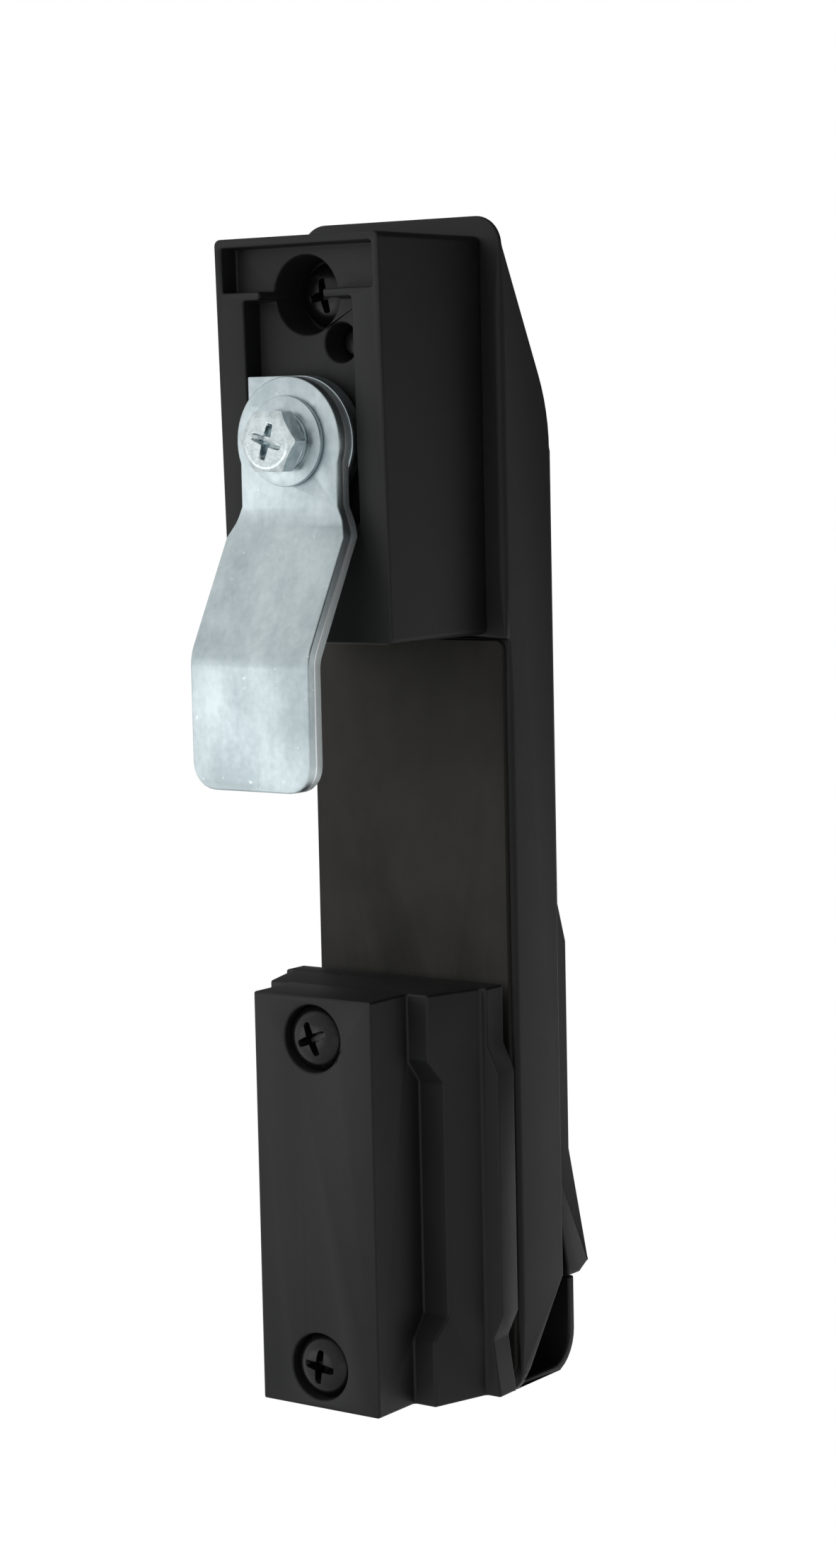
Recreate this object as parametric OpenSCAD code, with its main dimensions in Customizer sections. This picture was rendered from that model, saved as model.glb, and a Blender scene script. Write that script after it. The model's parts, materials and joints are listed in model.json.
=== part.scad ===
// Cabinet lock handle: a lift-and-turn handle on a long narrow base, seen best from behind.
// The origin is where the shaft's axis crosses the door face. +Z is up along the base and
// -Y points out of the cabinet, so the cam, the housing and the clamp lie on the +Y side.

/* [Base] */
// Width of the base
base_w = 29.7; // [28:0.5:40]
// From the shaft's axis up to the top of the base
base_up = 26.2; // [24:0.2:34]
// From the shaft's axis down to the bottom of the base
base_down = 118.1; // [118:0.1:140]
// From the door face to the front of the base's flanks
base_front = 10.4; // [10:0.1:13]
// Corner radius of the base, seen from the front
base_corner_r = 3.6; // [2:0.1:6]
// Thickness of the rubber gasket behind the base
gasket_t = 0.8; // [0.5:0.1:1.5]

/* [Crown] */
// Thickness of the rim above the crown's slope
crown_edge_t = 0.8; // [0.6:0.1:2]
// Height of that rim
crown_rim_h = 3.5; // [2:0.1:5]
// Height at which the crown's slope would meet the front
crown_foot_z = 3; // [2:0.1:5]
// Radius between the crown's slope and the front
crown_r = 21; // [10:0.5:26]
// How far the crown's middle rises over its slope
crown_rise = 1.5; // [1.2:0.1:2]

/* [Finger window] */
// How far the bow's front lies from the door face
bow_front = 15.6; // [15.2:0.1:17]
// Wall thickness of the bow
bow_t = 1.3; // [1:0.1:2]
// Inset of the bow and the handle from each flank
front_inset = 1.85; // [1.5:0.05:3]
// Height of the bow, from its free edge to the bottom of the base
bow_h = 11; // [9:0.1:12]
// Rounding between the bow's front and its bottom
bow_r = 5.2; // [3:0.1:6]

/* [Rear housing] */
// Width of the rear housing
housing_w = 24.1; // [22:0.1:25]
// Half of the housing's height
housing_half_h = 23.8; // [22:0.1:26]
// Depth of the housing at its top
housing_top_d = 20.6; // [19.8:0.1:22]
// Depth of the housing at its bottom
housing_low_d = 19.4; // [18:0.1:19.6]
// Depth of both pockets in the housing
pocket_d = 3.0; // [2.5:0.1:3.6]
// Half width of the pocket that the stop plate turns in
pocket_half_w = 7.9; // [7.8:0.1:9]
// Wall left around the upper pocket
housing_wall = 1.05; // [0.8:0.05:2]

/* [Shaft] */
// Radius of the shaft's journal
journal_r = 5; // [4.4:0.1:5.4]
// Radius of the shaft's round head
head_r = 8.4; // [8:0.1:9]
// Across the flats of the shaft's square end
square_w = 6.8; // [6:0.1:7]
// Running clearance of the journal in its bush, on the radius
journal_gap = 0.05; // [0.02:0.01:0.1]
// Wall of the bush
bush_wall = 1.6; // [1.2:0.1:2]

/* [Cam] */
// Thickness of the cam's steel
cam_t = 2.5; // [2:0.1:3.5]
// Width of the cam's blade
cam_w = 17.3; // [16:0.1:19]
// Radius of the cam's round hub
cam_hub_r = 7.5; // [7:0.1:7.8]
// From the shaft's axis to the cam's tip
cam_reach = 40.3; // [38:0.1:46]
// How far the blade is set back from the hub
cam_set = 8.4; // [6:0.1:9]
// Inner radius of the cam's two bends
cam_bend_r = 3; // [2:0.1:3.5]
// Corner radius of the cam's tip
cam_corner_r = 3.2; // [2:0.1:5]

/* [Handle] */
// Thickness of the handle's edge over its upper stretch
grip_t = 2.8; // [2.5:0.05:3.5]
// Extra thickness of the handle's edge over its lower stretch
grip_step = 1.65; // [1:0.05:2]
// How far the lip stands beyond the lower stretch
lip_h = 4.1; // [2:0.1:4.5]
// Height of the handle's crowned middle over its edges
grip_crown = 1.3; // [0.8:0.1:2]
// Gap between the handle and the base
grip_gap = 0.15; // [0.1:0.05:0.3]
// Radius of the cross pin that the handle lifts on
lift_pin_r = 1.5; // [1.2:0.1:1.8]
// Running clearance of the cross pin, on the radius
lift_pin_gap = 0.05; // [0.02:0.01:0.1]

/* [Lock] */
// Radius of the lock cylinder's body
cylinder_r = 5; // [4.6:0.1:5.4]
// Radius of the plug that the key turns
plug_r = 3.4; // [3:0.1:3.8]
// Running clearance of the plug, on the radius
plug_gap = 0.05; // [0.02:0.01:0.1]
// Radius of the locking pin
lock_pin_r = 1.4; // [1.2:0.1:1.6]
// Travel of the locking pin
lock_travel = 3; // [2:0.1:3]
// From the bottom of the base up to the lock's axis
lock_up = 26.9; // [26:0.1:28]

/* [Clamp bracket] */
// Width of the bracket's rear block
clamp_block_w = 17.5; // [16:0.1:20]
// Width of the bracket's middle step at its rear
clamp_step_w = 23.6; // [22:0.1:26]
// Width of the bracket's middle step at its root
clamp_root_w = 28.4; // [26:0.1:30]
// Width of the bracket's flange
clamp_flange_w = 30.4; // [30:0.1:32]
// Width of the bracket's flange at its foot
clamp_foot_w = 32.4; // [30:0.1:34]
// From the door face to the bracket's rear
clamp_rear = 20.9; // [20:0.1:23]
// From the door face to the rear of the middle step
clamp_step_y = 13.6; // [13.4:0.1:16]
// From the door face to the rear of the flange
clamp_flange_y = 6.1; // [5.2:0.1:7]
// Thickness of the door sheet that the bracket clamps
door_t = 2.5; // [2:0.1:3]
// Height of the bracket
clamp_h = 50.3; // [50:0.1:60]
// From each end of the bracket to its screw
screw_inset = 5.1; // [5:0.1:6]
// Depth of the waist in the middle step's rear
waist_d = 2.2; // [1.5:0.1:2.4]

/* [Screws] */
// Shank radius of the screws
screw_r = 2; // [1.5:0.1:2]
// Radius of the pan heads
pan_r = 3.8; // [3.4:0.1:3.8]
// Height of the pan heads
pan_h = 2.5; // [2:0.1:2.6]
// Radial clearance of a screw in its hole
screw_gap = 0.15; // [0.05:0.05:0.2]
// Across the flats of the cam bolt's head
bolt_af = 7; // [6.5:0.1:7.5]
// Height of the cam bolt's head
bolt_head_h = 2.5; // [2.2:0.1:3.2]
// Radius of the flat washer
washer_r = 5.3; // [5:0.1:6]
// Thickness of the flat washer
washer_t = 0.7; // [0.6:0.1:1]

/* [Hidden] */
$fn = 64;

// Overrun of a cut past the face that it opens
over = 0.5;
// Gap between fixed pieces that lie face to face
seat_gap = 0.02;
// Gap between pieces that move past each other
move_gap = 0.2;
// What a blind hole goes beyond the tip in it
hole_spare = 0.3;
black = "#2b2c2c";
zinc = "#c3ccd0";
rubber = "#30302e";
dark_steel = "#3b3d40";

// Base
base_rear = -gasket_t;
seat_rear = -0.1;
seat_margin = 0.5;
seat_low_z = -housing_half_h - seat_margin;
crown_edge_z = base_up - crown_rim_h;
crown_turn = atan2(base_front - crown_edge_t, crown_edge_z - crown_foot_z);
crown_steps = 6;
crown_core_w = 11;
crown_skin = 0.5;
crown_top_drop = 1.2;
crown_top_z = crown_edge_z - crown_top_drop;
crown_head_gap = 0.8;
crown_low_z = head_r + crown_head_gap;
window_top_up = 13.4;
window_top_z = -base_down + window_top_up;
window_low_up = 2.5;
window_low_z = -base_down + window_low_up;
window_low_y = -2.2;
bow_top_z = -(base_down - bow_h);
cell_w = 9;
cell_h = 12.6;
cell_d = 5.6;
cell_pitch = 15;
cell_web_half = 1;
cell_top_z = -27;

// Gasket
gasket_inset = 0.6;
gasket_low_inset = 3;
gasket_corner_r = 1;

// Shaft, bush and head
head_rear_y = -2.6;
head_sink = 0.1;
head_front_y = -base_front + head_sink;
head_floor_y = head_rear_y + move_gap;
slot_half_w = 5;
slot_floor_y = -4.8;
lift_pin_z = 4;
lift_pin_y = -7.6;
lift_ear_r = 2.6;
bush_r = journal_r + bush_wall;
housing_share = (housing_top_d - housing_low_d) / (2 * housing_half_h);
pocket_floor_y = (housing_top_d + housing_low_d) / 2 + housing_share * pocket_half_w - pocket_d;
cam_top_over = 2;
cam_top_z = cam_hub_r + cam_top_over;
pocket_low_z = -9.8;
pocket_top_z = 16.5;
upper_pocket_low_z = 17.5;
upper_pocket_floor_y = housing_top_d - pocket_d;
cam_gap = 0.05;
cam_front_y = (housing_top_d + housing_low_d) / 2 + housing_share * cam_top_z + cam_gap;
cam_rear_y = cam_front_y + cam_t;
stop_t = 2;
stop_front_y = cam_front_y - stop_t;
clip_t = 0.7;
clip_gap = 0.15;
clip_y = pocket_floor_y + clip_gap;
clip_mouth_half_w = 1.6;
clip_r = 6.4;
groove_d = 0.5;
groove_r = journal_r - groove_d;
square_sink = 0.3;
square_end_y = cam_rear_y - square_sink;
ring_r = 6.9;
ring_wire_r = 0.7;
ring_y = head_floor_y - seat_gap - ring_wire_r;

// Cam
cam_bend_z = -8.5;
cam_bend_drop = 17.5;
cam_waist_z = -7.6;
cam_waist_half_w = 7.05;
cam_neck_h = 3.6;
bend_sum = 2 * cam_bend_r + cam_t;
bend_angle = asin(bend_sum / norm([cam_bend_drop, cam_set - bend_sum]))
    + atan2(cam_set - bend_sum, cam_bend_drop);
bend_steps = 6;
hub_steps = 36;
square_gap = 0.05;
stop_r = 7.6;

// Cam bolt and washers
spring_washer_t = 0.9;
spring_washer_r = 3.5;
spring_washer_slit = 0.5;
washer_rear_y = cam_rear_y + washer_t;
bolt_seat_y = washer_rear_y + spring_washer_t;
bolt_rear_y = bolt_seat_y + bolt_head_h;
bolt_shank = 14;
bolt_r = 2;

// Handle
handle_w = base_w - 2 * front_inset;
grip_rear = base_front + grip_gap;
grip_edge = grip_rear + grip_t;
grip_low_edge = grip_edge + grip_step;
grip_top_z = 3;
grip_top_t = 1.3;
grip_taper_z = -2;
lip_gap = 0.3;
lip_rear_rise = 3.7;
handle_reach = base_down - bow_h - lip_gap;
lock_down = base_down - lock_up;
grip_step_up = 33;
grip_step_z = -lock_down + grip_step_up;
grip_step_h = 5;
lip_start_up = 1.6;
lip_start_z = -lock_down + lip_start_up;
lip_tip_h = 1.9;
lip_tip_z = -handle_reach + lip_tip_h;
lip_end_t = 0.5;
crown_run = 4;
skin = 0.01;
key_hole_r = 5;
core_half_w = 8;
core_d = 4.2;
core_below_pin = 6;
core_above_pin = 16;

// Lock
lock_sink = 0.05;
lock_front_y = -base_front + lock_sink;
lock_boss_r = 8.2;
lock_boss_rear = 4;
pin_boss_rear = 2.2;
pin_boss_wall = 1.6;
pin_boss_r = lock_pin_r + pin_boss_wall;
cylinder_rear = 8.6;
nut_af = 13;
nut_h = 3;
plug_sink = 0.1;
plug_front_y = lock_front_y + plug_sink;
plug_proud = 0.2;
plug_rear = cylinder_rear + plug_proud;
key_slot_w = 1.1;
key_slot_h = 4.6;
key_slot_d = 6;
driver_t = 1.3;
driver_r = 4.2;
driver_reach = 10.4;
driver_half_w = 1.4;
driver_screw_r = 1.25;
driver_head_r = 2.5;
driver_head_h = 1.6;
driver_screw_l = 7;
lock_pin_up = 9.2;
lock_pin_gap = 0.05;
lock_pin_tail_gap = 0.1;
lock_pin_tail_share = 0.73;
lock_pin_tail = plug_rear + lock_pin_tail_gap + lock_pin_tail_share * lock_travel;
collar_r = 2.3;
collar_t = 0.8;
collar_inset = 0.5;
collar_front = plug_rear - collar_inset;
spring_seat_gap = 0.3;
spring_seat_r = collar_r + spring_seat_gap;
spring_wire_r = 0.22;
spring_turns = 4;
spring_sides = 6;
spring_ring_steps = 12;

// Housing fasteners
housing_corner_r = 0.8;
housing_screw_x = 0.8;
housing_screw_z = 17;
deep_hole_r = 4.65;
housing_screw_seat = 11.5;
housing_screw_tip = -2.5;
locating_x = -4;
locating_z = 11.3;
locating_hole_r = 2.33;
locating_pin_r = 2.25;
locating_rear = 14.6;
locating_front = -5;
locating_point = 0.8;
front_screw_z = -17.6;
front_screw_head_r = 4;
front_screw_seat = -7.4;
front_screw_tip = 13;

// Clamp bracket
clamp_rise = 0.15;
clamp_mid_z = -lock_down + clamp_rise;
clamp_top_z = clamp_mid_z + clamp_h / 2;
clamp_low_z = clamp_mid_z - clamp_h / 2;
upper_screw_z = clamp_top_z - screw_inset;
lower_screw_z = clamp_low_z + screw_inset;
waist_half_h = 14.3;
waist_run = 2.7;
wing_half_h = 14.9;
wing_run = 3.2;
wing_w = 1.45;
clamp_front_y = door_t;
boss_r = 4;
boss_rear = 10;
boss_gap = 0.15;
clamp_screw_tip = 0.2;
pan_proud = 0.2;
pan_seat_y = clamp_rear - pan_h + pan_proud;
pan_gap = 0.3;
pan_hole_r = pan_r + pan_gap;
cavity_half_w = 10.7;
cavity_half_h = 12.6;
cavity_wall = 1;
cavity_step_y = clamp_step_y - waist_d - cavity_wall;
tail_cavity_half_w = 6.6;
tail_cavity_y = 16;
pad_r = 3;
pad_sink = 1;
pad_t = 1;
pad_down = 6.2;
pad_z = -lock_down - pad_down;
rest_pad_x = 7.6;

// Plate across Y from y0 to y1, from an outline drawn as x and z
module plate(y0, y1) {
    translate([0, y1, 0]) rotate([90, 0, 0]) linear_extrude(y1 - y0) children();
}

// Bar along X, centred, from an outline drawn as y and z
module bar(w) {
    translate([-w / 2, 0, 0]) rotate([90, 0, 90]) linear_extrude(w) children();
}

// Cylinder along Y from y0 to y1
module pin_y(x, z, r, y0, y1) {
    translate([x, y0, z]) rotate([-90, 0, 0]) cylinder(h = y1 - y0, r = r);
}

// Cone along Y, from radius r0 at y0 to r1 at y1
module cone_y(x, z, r0, r1, y0, y1) {
    translate([x, y0, z]) rotate([-90, 0, 0]) cylinder(h = y1 - y0, r1 = r0, r2 = r1);
}

// Box between two corners
module block(low, high) {
    translate(low) cube(high - low);
}

// Rectangle with round corners, centred on x, from z0 to z1
module rounded(w, z0, z1, r) {
    translate([-w / 2 + r, z0]) square([w - 2 * r, z1 - z0]);
    translate([-w / 2, z0 + r]) square([w, z1 - z0 - 2 * r]);
    for (x = [-w / 2 + r, w / 2 - r], z = [z0 + r, z1 - r]) translate([x, z]) circle(r);
}

function arc(centre, r, from, to, steps) =
    [for (i = [0 : steps]) centre + r * [cos(from + (to - from) * i / steps),
        sin(from + (to - from) * i / steps)]];

// Cross recess of a screw, cut towards -Y from the face at y
module cross_recess(x, z, y, span, depth, turn) {
    translate([x, y, z]) rotate([0, turn, 0]) for (a = [0, 90]) rotate([0, a, 0])
        block([-span / 2, -depth, -span / 9], [span / 2, over, span / 9]);
}

// Pan-head screw along Y whose head lies on the seat and points to +Y
module pan_screw(x, z, seat, tip, turn) {
    difference() {
        union() {
            pin_y(x, z, pan_r, seat, seat + pan_h / 2);
            cone_y(x, z, pan_r, pan_r * 0.72, seat + pan_h / 2, seat + pan_h);
            pin_y(x, z, screw_r, tip, seat + pan_h / 4);
        }
        cross_recess(x, z, seat + pan_h, pan_r * 1.15, pan_h * 0.6, turn);
    }
}

module base_flank() {
    bar(base_w) polygon(concat(
        [[base_rear, -base_down], [base_rear, seat_low_z], [seat_rear, seat_low_z],
            [seat_rear, base_up], [-crown_edge_t, base_up], [-crown_edge_t, crown_edge_z]],
        arc([-base_front + crown_r, crown_foot_z - crown_r * tan(crown_turn / 2)], crown_r,
            180 - crown_turn, 180, crown_steps),
        [[-base_front, window_top_z], [window_low_y, window_low_z],
            [window_low_y, -base_down]]));
}

function crown_y(z) = -crown_edge_t - (crown_edge_z - z) * tan(crown_turn);

module crown_layer(w, rise, inset) {
    bar(w) polygon([[crown_y(crown_top_z - inset) + crown_skin, crown_top_z - inset],
        [crown_y(crown_top_z - inset) - rise, crown_top_z - inset],
        [crown_y(crown_low_z) - rise, crown_low_z],
        [crown_y(crown_low_z) + crown_skin, crown_low_z]]);
}

module base_crown() {
    hull() {
        crown_layer(base_w - 2 * front_inset, 0, 0);
        crown_layer(crown_core_w, crown_rise, crown_rise);
    }
}

module base_bow() {
    bow_in = bow_r - bow_t;
    centre = [-bow_front + bow_r, -base_down + bow_r];
    bar(handle_w) polygon(concat(
        [[-bow_front, bow_top_z]],
        arc(centre, bow_r, 180, 270, 8),
        [[base_rear, -base_down], [base_rear, -base_down + bow_t]],
        arc(centre, bow_in, 270, 180, 8),
        [[-bow_front + bow_t, bow_top_z]]));
}

module base_cells() {
    for (row = [0 : 2], side = [-1, 1]) plate(-base_front - over, -base_front + cell_d)
        translate([side * (cell_w / 2 + cell_web_half), cell_top_z - row * cell_pitch - cell_h])
            translate([-cell_w / 2, 0]) square([cell_w, cell_h]);
}

module base() {
    color(black) difference() {
        union() {
            intersection() {
                union() {
                    base_flank();
                    base_crown();
                    base_bow();
                }
                plate(-bow_front - over, 0) rounded(base_w, -base_down, base_up, base_corner_r);
            }
            pin_y(0, -lock_down, lock_boss_r, base_rear - over, lock_boss_rear);
            pin_y(0, -lock_down + lock_pin_up, pin_boss_r, base_rear - over, pin_boss_rear);
            for (z = [upper_screw_z, lower_screw_z]) pin_y(0, z, boss_r, base_rear - over, boss_rear);
        }
        pin_y(0, 0, head_r + move_gap, -base_front - over, head_floor_y);
        pin_y(0, 0, bush_r + seat_gap, -base_front, over);
        pin_y(0, -lock_down, cylinder_r + seat_gap, -base_front - over, lock_boss_rear + over);
        pin_y(0, -lock_down + lock_pin_up, lock_pin_r + lock_pin_gap, -base_front - over,
            lock_boss_rear + over);
        pin_y(0, -lock_down + lock_pin_up, spring_seat_r, pin_boss_rear, lock_boss_rear + over);
        for (z = [upper_screw_z, lower_screw_z])
            pin_y(0, z, screw_r + seat_gap, clamp_screw_tip - hole_spare, boss_rear + over);
        pin_y(housing_screw_x, housing_screw_z, screw_r + seat_gap, housing_screw_tip - hole_spare, over);
        pin_y(locating_x, locating_z, locating_pin_r + seat_gap, locating_front - hole_spare, over);
        pin_y(0, front_screw_z, screw_r + screw_gap, -base_front, over);
        pin_y(0, front_screw_z, front_screw_head_r + pan_gap, -base_front - over, front_screw_seat);
        base_cells();
        for (x = [-rest_pad_x, rest_pad_x])
            pin_y(x, pad_z, pad_r + seat_gap, -base_front - over, -base_front + pad_sink);
    }
}

module gasket() {
    color(rubber) difference() {
        plate(-gasket_t + seat_gap, 0)
            rounded(base_w - 2 * gasket_inset, -base_down + gasket_low_inset,
                seat_low_z - move_gap, gasket_corner_r);
        plate(-gasket_t - over, over) {
            translate([0, -lock_down]) circle(lock_boss_r + move_gap);
            translate([0, -lock_down + lock_pin_up]) circle(pin_boss_r + move_gap);
            for (z = [upper_screw_z, lower_screw_z]) translate([0, z]) circle(boss_r + move_gap);
        }
    }
}

module rear_housing() {
    front = seat_rear + seat_gap;
    color(black) difference() {
        intersection() {
            plate(front, housing_top_d)
                rounded(housing_w, -housing_half_h, housing_half_h, housing_corner_r);
            bar(housing_w) polygon([[front, -housing_half_h], [housing_low_d, -housing_half_h],
                [housing_top_d, housing_half_h], [front, housing_half_h]]);
        }
        block([-housing_w / 2 + housing_wall, upper_pocket_floor_y, upper_pocket_low_z],
            [housing_w / 2 - housing_wall, housing_top_d + over, housing_half_h - housing_wall]);
        block([-pocket_half_w, pocket_floor_y, pocket_low_z],
            [pocket_half_w, housing_top_d + over, pocket_top_z]);
        pin_y(0, 0, bush_r + seat_gap, front - over, pocket_floor_y + over);
        pin_y(housing_screw_x, housing_screw_z, deep_hole_r, housing_screw_seat,
            housing_top_d + over);
        pin_y(housing_screw_x, housing_screw_z, screw_r + screw_gap, front - over,
            housing_top_d);
        pin_y(locating_x, locating_z, locating_hole_r, front - over, housing_top_d);
        pin_y(0, front_screw_z, screw_r + seat_gap, front - over, front_screw_tip + hole_spare);
    }
}

module housing_screw() {
    color(dark_steel)
        pan_screw(housing_screw_x, housing_screw_z, housing_screw_seat + seat_gap,
            housing_screw_tip, 12);
}

module front_screw() {
    color(dark_steel) mirror([0, 1, 0])
        pan_screw(0, front_screw_z, -front_screw_seat + seat_gap, -front_screw_tip, 30);
}

module locating_pin() {
    color(dark_steel) {
        pin_y(locating_x, locating_z, locating_pin_r, locating_front, locating_rear - locating_point);
        cone_y(locating_x, locating_z, locating_pin_r, locating_pin_r * 0.6,
            locating_rear - locating_point, locating_rear);
    }
}

module shaft() {
    color(zinc) difference() {
        union() {
            pin_y(0, 0, head_r, head_front_y, head_rear_y);
            pin_y(0, 0, journal_r, head_rear_y - over, stop_front_y - seat_gap);
            intersection() {
                pin_y(0, 0, journal_r - seat_gap, stop_front_y - over, square_end_y);
                block([-square_w / 2, stop_front_y - over, -square_w / 2],
                    [square_w / 2, square_end_y, square_w / 2]);
            }
        }
        block([-slot_half_w, head_front_y - over, -head_r - over],
            [slot_half_w, slot_floor_y, head_r + over]);
        translate([-head_r - over, lift_pin_y, lift_pin_z]) rotate([0, 90, 0])
            cylinder(h = 2 * (head_r + over), r = lift_pin_r + seat_gap);
        rotate([-90, 0, 0]) translate([0, 0, ring_y]) rotate_extrude() translate([ring_r, 0])
            circle(ring_wire_r + seat_gap);
        difference() {
            pin_y(0, 0, journal_r + over, clip_y - seat_gap, clip_y + clip_t + seat_gap);
            pin_y(0, 0, groove_r, clip_y - over, clip_y + clip_t + over);
        }
        pin_y(0, 0, bolt_r + seat_gap, bolt_seat_y - bolt_shank - hole_spare, square_end_y + over);
    }
}

module shaft_bush() {
    color("#d8d5c8") difference() {
        pin_y(0, 0, bush_r, head_floor_y + seat_gap, pocket_floor_y - seat_gap);
        pin_y(0, 0, journal_r + journal_gap, head_floor_y - over, pocket_floor_y + over);
    }
}

module shaft_ring() {
    color(rubber) rotate([-90, 0, 0]) translate([0, 0, ring_y])
        rotate_extrude() translate([ring_r, 0]) circle(ring_wire_r);
}

module shaft_clip() {
    color(dark_steel) difference() {
        pin_y(0, 0, clip_r, clip_y, clip_y + clip_t);
        pin_y(0, 0, groove_r + seat_gap, clip_y - over, clip_y + clip_t + over);
        block([-clip_mouth_half_w, clip_y - over, -clip_r - over],
            [clip_mouth_half_w, clip_y + clip_t + over, 0]);
    }
}

module square_hole() {
    translate([-square_w / 2 - square_gap, -square_w / 2 - square_gap])
        square(square_w + 2 * square_gap);
}

module stop_plate() {
    color(zinc) plate(stop_front_y, cam_front_y - seat_gap) difference() {
        union() {
            circle(stop_r);
            square(stop_r);
        }
        square_hole();
    }
}

module cam_outline() {
    blade_top = cam_waist_z - cam_neck_h;
    neck_angle = acos(cam_waist_half_w / cam_hub_r);
    low = -cam_reach + cam_corner_r;
    side = cam_w / 2;
    difference() {
        polygon(concat(
            arc([0, 0], cam_hub_r, -neck_angle, 180 + neck_angle, hub_steps),
            [[-cam_waist_half_w, cam_waist_z], [-side, blade_top]],
            arc([-side + cam_corner_r, low], cam_corner_r, 180, 270, bend_steps),
            arc([side - cam_corner_r, low], cam_corner_r, 270, 360, bend_steps),
            [[side, blade_top], [cam_waist_half_w, cam_waist_z]]));
        square_hole();
    }
}

module cam_side() {
    outer_r = cam_bend_r + cam_t;
    first = [cam_rear_y + cam_bend_r, cam_bend_z];
    last = [cam_rear_y + cam_set - outer_r, cam_bend_z - cam_bend_drop];
    polygon(concat(
        [[cam_rear_y, cam_top_z]],
        arc(first, cam_bend_r, 180, 180 + bend_angle, bend_steps),
        arc(last, outer_r, bend_angle, 0, bend_steps),
        [[cam_rear_y + cam_set, -cam_reach - over], [cam_front_y + cam_set, -cam_reach - over]],
        arc(last, cam_bend_r, 0, bend_angle, bend_steps),
        arc(first, outer_r, 180 + bend_angle, 180, bend_steps),
        [[cam_front_y, cam_top_z]]));
}

module cam() {
    color(zinc) intersection() {
        plate(cam_front_y - over, cam_rear_y + cam_set + over) cam_outline();
        bar(2 * cam_w) cam_side();
    }
}

module flat_washer() {
    color(zinc) difference() {
        pin_y(0, 0, washer_r, cam_rear_y + seat_gap, washer_rear_y);
        pin_y(0, 0, bolt_r + screw_gap, cam_rear_y - over, washer_rear_y + over);
    }
}

module spring_washer() {
    color(zinc) difference() {
        pin_y(0, 0, spring_washer_r, washer_rear_y + seat_gap, bolt_seat_y);
        pin_y(0, 0, bolt_r + screw_gap, washer_rear_y - over, bolt_seat_y + over);
        translate([0, washer_rear_y, 0]) rotate([0, 35, 0])
            block([0, -over, -spring_washer_slit / 2],
                [spring_washer_r + over, spring_washer_t + over, spring_washer_slit / 2]);
    }
}

module cam_bolt() {
    corner_r = bolt_af / sqrt(3);
    color(zinc) difference() {
        union() {
            intersection() {
                translate([0, bolt_seat_y + seat_gap, 0]) rotate([-90, 30, 0])
                    cylinder(h = bolt_head_h - seat_gap, r = corner_r, $fn = 6);
                union() {
                    pin_y(0, 0, corner_r + over, bolt_seat_y, bolt_seat_y + bolt_head_h * 0.72);
                    cone_y(0, 0, corner_r * 1.06, corner_r * 0.8,
                        bolt_seat_y + bolt_head_h * 0.7, bolt_rear_y);
                }
            }
            pin_y(0, 0, bolt_r, bolt_seat_y - bolt_shank, bolt_seat_y + over);
        }
        cross_recess(0, 0, bolt_rear_y, bolt_af * 0.62, bolt_head_h * 0.55, -18);
    }
}

module handle_section(z, rear, edge) {
    half = handle_w / 2;
    translate([0, 0, z]) linear_extrude(skin) polygon([[-half, -rear], [half, -rear],
        [half, -edge], [half - crown_run, -edge - grip_crown],
        [-half + crown_run, -edge - grip_crown], [-half, -edge]]);
}

module handle_stretch(z0, edge0, z1, edge1, rear0, rear1) {
    hull() {
        handle_section(z0, rear0, edge0);
        handle_section(z1, rear1, edge1);
    }
}

module handle_ear() {
    face = -grip_rear + seat_gap;
    color(black) difference() {
        bar(2 * (slot_half_w - move_gap / 2)) polygon(concat(
            [[face, grip_taper_z], [face, lift_pin_z]],
            arc([lift_pin_y, lift_pin_z], lift_ear_r, 130, -60, 14)));
        translate([-handle_w, lift_pin_y, lift_pin_z]) rotate([0, 90, 0])
            cylinder(h = 2 * handle_w, r = lift_pin_r + lift_pin_gap);
    }
}

module handle() {
    lip_rear = grip_rear + lip_rear_rise;
    color(black) difference() {
        intersection() {
            union() {
                handle_stretch(grip_top_z - skin, grip_rear + grip_top_t, grip_taper_z,
                    grip_edge, grip_rear, grip_rear);
                handle_stretch(grip_taper_z, grip_edge, grip_step_z, grip_edge,
                    grip_rear, grip_rear);
                handle_stretch(grip_step_z, grip_edge, grip_step_z - grip_step_h,
                    grip_low_edge, grip_rear, grip_rear);
                handle_stretch(grip_step_z - grip_step_h, grip_low_edge, lip_start_z,
                    grip_low_edge, grip_rear, grip_rear);
                handle_stretch(lip_start_z, grip_low_edge, lip_tip_z,
                    grip_low_edge + lip_h, grip_rear, lip_rear);
                handle_stretch(lip_tip_z, grip_low_edge + lip_h, -handle_reach - over,
                    lip_rear + lip_end_t, lip_rear, lip_rear);
            }
            plate(-bow_front - lip_h - 2 * grip_crown - over, -base_front) {
                translate([-handle_w / 2, -lock_down]) square([handle_w, lock_down + grip_top_z]);
                intersection() {
                    circle(handle_reach, $fn = 180);
                    translate([-handle_w / 2, -handle_reach]) square([handle_w, handle_reach]);
                }
            }
        }
        pin_y(0, -lock_down, key_hole_r, -grip_low_edge - lip_h, -base_front + over);
        translate([0, 0, -lock_down + lock_pin_up])
            block([-core_half_w, -grip_rear - core_d, -core_below_pin],
                [core_half_w, -base_front + over, core_above_pin]);
    }
}

module lift_pin() {
    half = sqrt(pow(head_r, 2) - pow(lift_pin_z + lift_pin_r, 2)) - seat_gap;
    color(zinc) translate([-half, lift_pin_y, lift_pin_z]) rotate([0, 90, 0])
        cylinder(h = 2 * half, r = lift_pin_r);
}

module rest_pad(x) {
    color(rubber) pin_y(x, pad_z, pad_r, -base_front - pad_t, -base_front + pad_sink - seat_gap);
}

module rest_pad_left() {
    rest_pad(-rest_pad_x);
}

module rest_pad_right() {
    rest_pad(rest_pad_x);
}

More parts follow.
